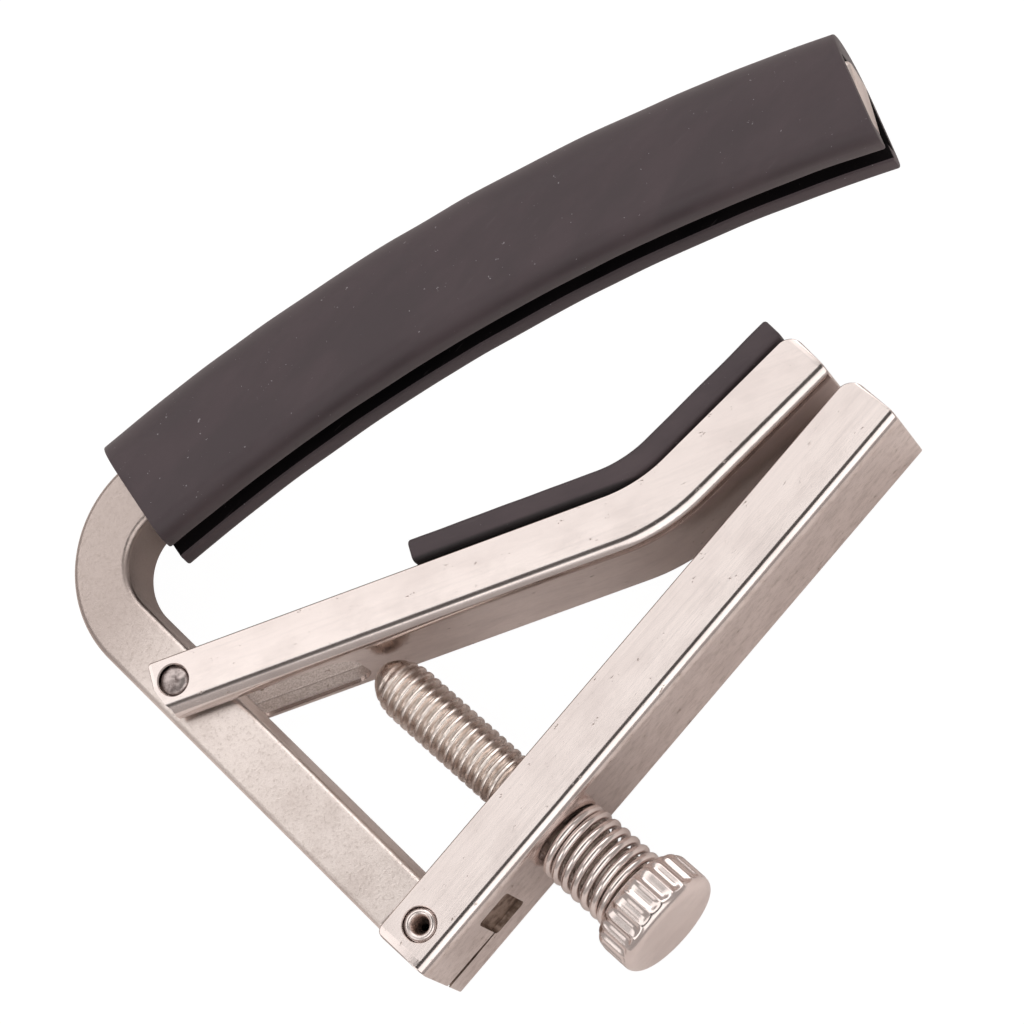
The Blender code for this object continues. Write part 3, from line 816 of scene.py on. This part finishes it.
def make_arm():
    """The pad arm: a channel with a slanting pivot end and a slot through its web."""
    turn_length = ARM_LENGTH - ARM_TAIL - ARM_STRAIGHT
    inner = [6.0, 20.0]
    inner += [ARM_STRAIGHT - ARM_LEFT + turn_length * step / 28 for step in range(29)]
    shape = (ARM_TOP, ARM_WEB, ARM_FOLD)
    rows = channel_rows(arm_path(ARM_LEFT), ARM_LENGTH - ARM_LEFT, shape, ARM_CORNERS, inner)
    body = bow_end(sweep(rows), arm_path(0.0)(ARM_LENGTH), ARM_TOP, ARM_WEB, ARM_BOW)
    arm = mesh_object("pad_arm_channel", body, ARM_AXES)
    slant = [(-4.0, 0.3), (-1.95, 0.3), (-1.74, 0.0), (-1.6, -0.5)]
    slant += [(-1.12, -1.7), (-0.75, -2.2), (-0.55, -4.0), (-4.0, -4.0)]
    slot = prism(box_outline((-6.0, -3.5, 13.7, 3.5), 2.2), 0.8, 4.0)
    cutters = [
        (hole_cutter(ARM_BORE, 1.34), IN_PLACE),
        (prism(slant, -8.0, 8.0), IN_PLACE),
        (slot, OUT_OF_WEB),
    ]
    carve(arm, cutters)
    even_normals(arm)
    place_piece(arm, "arm", "pad_arm", "nickel_plate", ARM_METAL)


def pad_section():
    """The pad's T, as (height, z): a cap over the arm's edges and a stem between its walls."""
    half, stem, stem_end = CHANNEL_HALF, 3.4, 0.9
    side = [(PAD_TOP, z) for z in (0.8, 1.8, 2.8, 3.7)]
    corners = arc((half - 0.5, PAD_TOP - 0.5), 0.5, 90.0, 0.0, 7)
    corners += arc((half - 0.55, PAD_BOTTOM + 0.55), 0.55, 0.0, -90.0, 6)
    side += [(height, z) for z, height in corners]
    side += [(PAD_BOTTOM, stem + 0.1), (PAD_BOTTOM - 0.1, stem), (stem_end, stem)]
    return [(PAD_TOP, 0.0)] + side + [(height, -z) for height, z in reversed(side)]


def make_pad():
    length = ARM_LENGTH - PAD_END_GAP - PAD_START
    place = arm_path(PAD_START)
    section = pad_section()
    stations = [(0.0, 0.22), (0.06, 0.09), (0.2, 0.0)]
    stations += [(length * step / 70, 0.0) for step in range(1, 70)]
    stations += [(length - distance, ease) for distance, ease in reversed(stations[:3])]
    rows = []
    for distance, ease in stations:
        rows.append((*place(distance), inset(section, ease) if ease else section))
    pad = mesh_object("neck_pad_strip", sweep(rows), ARM_AXES)
    roughen(pad, 0.05, 0.3)
    place_piece(pad, "arm", "neck_pad", "black_rubber", PAD_RUBBER)


def lever_path(distance):
    return (LEVER_LEFT + distance, 0.0, 0.0)


def in_pocket_or_seam(point):
    """Whether a point of the lever is on the floor or the walls of its pocket or its seam."""
    in_web = LEVER_WEB + 0.01 < point.y < -2.3
    in_pocket = 2.7 < point.x < 6.0 and -1.9 < point.z < 2.9
    in_seam = point.x < 2.95 and -1.6 < point.z < -0.9
    return in_web and (in_pocket or in_seam)


def make_lever():
    """The lever: a channel with sunk pivot holes, a screw hole, a pocket and a seam in its web."""
    shape = (LEVER_TOP, LEVER_WEB, LEVER_FOLD)
    length = LEVER_RIGHT - LEVER_LEFT
    rows = channel_rows(lever_path, length, shape, LEVER_CORNERS, [20.0, 38.0])
    body = bow_end(sweep(rows), lever_path(length), LEVER_TOP, LEVER_WEB, LEVER_BOW)
    lever = mesh_object("lever_channel", body, LEVER_AXES)
    sink = [(1.28, 4.5), (1.38, 4.62), (1.38, 4.92), (1.44, 5.001), (1.44, 6.0)]
    sink_back = [(radius, -z) for radius, z in reversed(sink)]
    levels = ((2.40, 0.35, 0.0), (2.86, 0.45, 0.14), (4.0, 0.45, 0.14))
    pocket = []
    for z, radius, growth in levels:
        pocket.append([(x, y, z) for x, y in box_outline(POCKET, radius, growth)])
    seam = [(-4.0, -1.50), (0.5, -1.46), (2.9, -1.32), (2.9, -1.06), (0.5, -0.96), (-4.0, -0.94)]
    screw_hole = turn([(SCREW_RADIUS + 0.3, -4.0), (SCREW_RADIUS + 0.3, -0.8)], 64)
    screw_hole_place = shift(SCREW_STATION, 0, 0) @ Matrix.Rotation(math.radians(-90.0), 4, "X")
    web_top = LEVER_WEB + SHEET + 0.1
    slope = [(-4.0, -2.75), (-2.55, -2.75), (LEVER_LEFT + 1.2, web_top), (-4.0, web_top)]
    wall = CHANNEL_HALF - SHEET - 0.05
    cutters = [
        (hole_cutter(LEVER_BORE, 1.1), IN_PLACE),
        (turn(sink, 48), IN_PLACE),
        (turn(sink_back, 48), IN_PLACE),
        (skin(pocket), OUT_OF_WEB),
        (prism(seam, 2.42, 4.0), OUT_OF_WEB),
        (screw_hole, screw_hole_place),
        (prism(slope, -wall, wall), IN_PLACE),
    ]
    carve(lever, cutters)
    even_normals(lever)
    # The pocket's and the seam's faces take the dark brown of painted shade.
    marks = [int(in_pocket_or_seam(face.center / MM)) for face in lever.data.polygons]
    place_piece(lever, "lever", "lever", "nickel_plate", LEVER_METAL, POCKET_SHADE_METAL)
    lever.data.polygons.foreach_set("material_index", marks)


# Pins, nut, screw, knob and spring.


def make_arm_pin():
    """The arm's pin, with its peened and tarnished ends below the flanges' faces."""
    profile = [(0.25, 4.88), (0.6, 4.87), (0.9, 4.83), (1.08, 4.76), (1.17, 4.6), (1.17, 4.2)]
    both = profile + [(radius, -z) for radius, z in reversed(profile)]
    pin = mesh_object("arm_pin", turn(both, 48), ARM_AXES, sharp=60.0)
    roughen(pin, 0.05, 2.2)
    place_piece(pin, "frame", "arm_pivot_pin", "tarnished_steel", PIN_METAL)


def make_rivet():
    """The lever's hollow rivet, with each end rolled outward into a rim."""
    rim = [(0.75, 4.45), (0.98, 4.52), (1.16, 4.62), (1.25, 4.74), (1.26, 4.82)]
    rim += arc((1.0, 4.74), 0.26, 20.0, 160.0, 8)
    rim += [(0.68, 4.66), (0.62, 4.5), (0.52, 4.1), (0.30, 3.6), (0.28, 3.0)]
    profile = rim + [(radius, -z) for radius, z in reversed(rim)]
    rivet = mesh_object("lever_rivet", turn(profile, 48, hollow=True), LEVER_AXES, sharp=60.0)
    place_piece(rivet, "frame", "lever_pivot_rivet", "nickel_plate", RIVET_METAL)


def make_nut():
    """The threaded nut inside the lever."""
    low, high, bore, outside, edge = -1.35, 0.65, SCREW_RADIUS + 0.12, 3.4, 0.25
    profile = [(bore + 0.18, high), (outside - edge, high), (outside, high - edge)]
    profile += [(outside, low + edge), (outside - edge, low), (bore + 0.18, low)]
    ridges = int((high - low) / THREAD_PITCH * 4)
    for step in range(ridges + 1):
        z = low + 0.2 + (high - low - 0.4) * step / ridges
        profile.append((bore if step % 2 else bore + 0.14, z))
    profile = [(radius, -z) for radius, z in profile]
    nut = mesh_object("lever_nut", turn(profile, 64, hollow=True), SCREW_AXES)
    place_piece(nut, "lever", "nut_insert", "nickel_plate", RIVET_METAL)


def thread_height(turns):
    """The thread's height, from 0 at the root to 1 at the crest, by place in the turn."""
    wave = 0.5 + 0.5 * math.cos(2.0 * math.pi * turns)
    return smooth(0.08, 0.80, wave)


def make_screw():
    """The thumbscrew's thread, fading into a smooth domed tip."""
    around, per_pitch, tip_rows, tip_radius = 72, 12, 14, 0.12
    shoulder = KNOB_START + 0.4
    rows = int((shoulder - SCREW_TIP) / THREAD_PITCH * per_pitch)
    loops = []
    for row in range(rows + 1):
        along = (shoulder - SCREW_TIP) * row / rows
        along = along if row > tip_rows else along * (row / tip_rows) ** 0.9
        z = SCREW_TIP + along
        dome = 1.0 - (1.0 - min(along / SCREW_DOME, 1.0)) ** 2.2
        body = SCREW_RADIUS * max(dome, 0.0) ** 0.55
        depth = THREAD_DEPTH * smooth(0.8, 3.4, along)
        loop = []
        for step in range(around):
            angle = 2.0 * math.pi * step / around
            radius = body - depth * (1.0 - thread_height(z / THREAD_PITCH - step / around))
            radius = max(radius, tip_radius)
            loop.append((radius * math.cos(angle), radius * math.sin(angle), z))
        loops.append(loop)
    screw = mesh_object("thumbscrew_thread", skin(loops), SCREW_AXES, sharp=80.0)
    place_piece(screw, "screw", "adjusting_screw", "tarnished_steel", SCREW_METAL)


def make_knob():
    """The fluted knob.

    The flutes run out over its round inner edge and end in round noses near the flat face.
    """
    flutes, per_flute = 24, 14
    inner_edge, outer_edge, depth = 1.1, 0.8, 0.26
    rows = [(2.7, KNOB_START, 0.0), (3.3, KNOB_START, 0.0)]
    low, high = KNOB_START + inner_edge, KNOB_END - outer_edge
    for radius, z in arc((KNOB_RADIUS - inner_edge, low), inner_edge, -80.0, 0.0, 9):
        rows.append((radius, z, smooth(KNOB_START, KNOB_START + 0.35, z)))
    outer = [(KNOB_RADIUS, low + (high - low) * step / 12) for step in range(1, 13)]
    outer += arc((KNOB_RADIUS - outer_edge, high), outer_edge, 0.0, 90.0, 9)[1:]
    rows += [(radius, z, smooth(KNOB_END - 0.45, KNOB_END - 1.15, z)) for radius, z in outer]
    face = ((3.0, 0.02), (2.0, 0.03), (0.8, 0.035))
    rows += [(radius, KNOB_END + rise, 0.0) for radius, rise in face]
    loops = []
    count = flutes * per_flute
    for base, z, cut in rows:
        loop = []
        for step in range(count):
            angle = 2.0 * math.pi * step / count
            scoop = 1.0 - abs(2.0 * (step % per_flute) / per_flute - 1.0) ** 1.9
            radius = base - depth * cut * scoop
            loop.append((radius * math.cos(angle), radius * math.sin(angle), z))
        loops.append(loop)
    knob = mesh_object("thumbscrew_knob", skin(loops), SCREW_AXES, sharp=80.0)
    place_piece(knob, "screw", "screw_knob", "nickel_plate", KNOB_METAL)


def make_spring():
    """The coil between lever and knob.

    Its end turns lie closer than the rest.
    """
    start = -LEVER_WEB + SPRING_WIRE + 0.02
    end = KNOB_START - SPRING_WIRE - 0.02
    turns, per_turn, sides = 6.7, 44, 14
    count = int(turns * per_turn)
    climb = [0.0]
    for step in range(count):
        place = turns * (step + 0.5) / count
        close = 1.0 - smooth(0.5, 1.2, min(place, turns - place))
        climb.append(climb[-1] + (1.0 - 0.36 * close))
    loops = []
    for step in range(count + 1):
        angle = 2.0 * math.pi * step / per_turn
        z = start + (end - start) * climb[step] / climb[-1]
        centre = Vector((SPRING_RADIUS * math.cos(angle), SPRING_RADIUS * math.sin(angle), z))
        outward = Vector((math.cos(angle), math.sin(angle), 0.0))
        taper = 0.8 if step in (0, count) else 1.0
        loop = []
        for side in range(sides):
            around = 2.0 * math.pi * side / sides
            offset = outward * math.cos(around) + Vector((0.0, 0.0, math.sin(around)))
            loop.append(centre + offset * SPRING_WIRE * taper)
        loops.append(loop)
    spring = mesh_object("thumbscrew_spring", skin(loops), SCREW_AXES)
    spring.data.materials.append(SPRING_METAL)
    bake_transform(spring)
    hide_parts("tension_spring")


# The floor, the light and the camera.

LAMP_COLOUR = (1.0, 0.985, 0.97)


def blend_for_camera(tree, seen_share, lit, seen, output):
    """Shows the camera a share of one shader in place of another, on a tree's output."""
    factor = add(tree, "LightPath").outputs["Is Camera Ray"]
    if seen_share < 1.0:
        factor = scaled(tree, factor, seen_share)
    shade = add(tree, "MixShader", (0, factor), (1, lit.outputs[0]), (2, seen.outputs[0]))
    tree.links.new(shade.outputs[0], tree.nodes[output].inputs["Surface"])


def make_floor():
    bm = bmesh.new()
    bmesh.ops.create_grid(bm, x_segments=1, y_segments=1, size=3000.0)
    floor = mesh_object("floor", bm, Matrix.Identity(4))
    material = bpy.data.materials.new("pale_floor")
    material.use_nodes = True
    tree = material.node_tree
    shader = tree.nodes["Principled BSDF"]
    shader.inputs["Base Color"].default_value = (0.90, 0.84, 0.815, 1.0)
    shader.inputs["Roughness"].default_value = 0.9
    glow = add(tree, "Emission", ("Color", (1.0, 1.0, 1.0, 1.0)), ("Strength", 1.08))
    blend_for_camera(tree, 0.9, shader, glow, "Material Output")
    floor.data.materials.append(material)


def make_world():
    """Soft surroundings: pale to the camera, mid grey in reflections, and darker overhead."""
    world = bpy.data.worlds.new("studio")
    bpy.context.scene.world = world
    world.use_nodes = True
    tree = world.node_tree
    background = tree.nodes["Background"]
    background.inputs["Color"].default_value = (1.0, 0.93, 0.895, 1.0)
    direction = add(tree, "TexCoord").outputs["Generated"]
    upward = add(tree, "SeparateXYZ", ("Vector", direction)).outputs["Z"]
    tree.links.new(ramp(tree, upward, 0.82, 0.97, 0.42, 0.08), background.inputs["Strength"])
    pale = add(tree, "Background", ("Color", (1.0, 1.0, 1.0, 1.0)), ("Strength", 1.0))
    blend_for_camera(tree, 1.0, background, pale, "World Output")


def from_sphere(azimuth, elevation):
    """The direction of an azimuth and an elevation in degrees. Azimuth 0 is -Y."""
    a, e = math.radians(azimuth), math.radians(elevation)
    return Vector((math.sin(a) * math.cos(e), -math.cos(a) * math.cos(e), math.sin(e)))


def add_lamp(name, azimuth, elevation, distance, width, height, glow):
    """A soft box aimed at the capo. glow is its surface brightness."""
    data = bpy.data.lights.new(name, "AREA")
    data.shape = "RECTANGLE"
    data.size = width
    data.size_y = height
    data.energy = glow * math.pi * width * height
    data.color = LAMP_COLOUR
    lamp = bpy.data.objects.new(name, data)
    back = from_sphere(azimuth, elevation)
    lamp.location = back * distance
    lamp.rotation_mode = "QUATERNION"
    lamp.rotation_quaternion = back.to_track_quat("Z", "Y")
    bpy.context.scene.collection.objects.link(lamp)


def make_camera():
    data = bpy.data.cameras.new("camera")
    data.sensor_width = 36.0
    data.lens = 140.6
    data.clip_start = 0.01
    camera = bpy.data.objects.new("camera", data)
    distance, roll = 0.3042, math.radians(50.20)
    target = LEVER_PIVOT + Vector((0.0273, 0.01684, 0.005))
    back = from_sphere(2.68, 67.74)
    camera.location = target + back * distance
    camera.rotation_mode = "QUATERNION"
    camera.rotation_quaternion = back.to_track_quat("Z", "Y") @ Quaternion((0.0, 0.0, 1.0), -roll)
    bpy.context.scene.collection.objects.link(camera)
    bpy.context.scene.camera = camera


make_frame_bar()
make_sleeve()
make_arm()
make_pad()
make_lever()
make_arm_pin()
make_rivet()
make_nut()
make_screw()
make_knob()
make_spring()
make_floor()
make_world()
add_lamp("key", 180.0, 54.5, 0.7, 0.7, 0.55, 1.02)
add_lamp("front", 0.0, 51.0, 0.7, 0.8, 0.58, 1.1)
add_lamp("left", -90.0, 40.0, 0.8, 0.4, 0.4, 1.3)
add_lamp("right", 122.0, 33.0, 0.8, 0.5, 0.45, 1.6)
make_camera()
bpy.context.scene.view_settings.view_transform = "Standard"
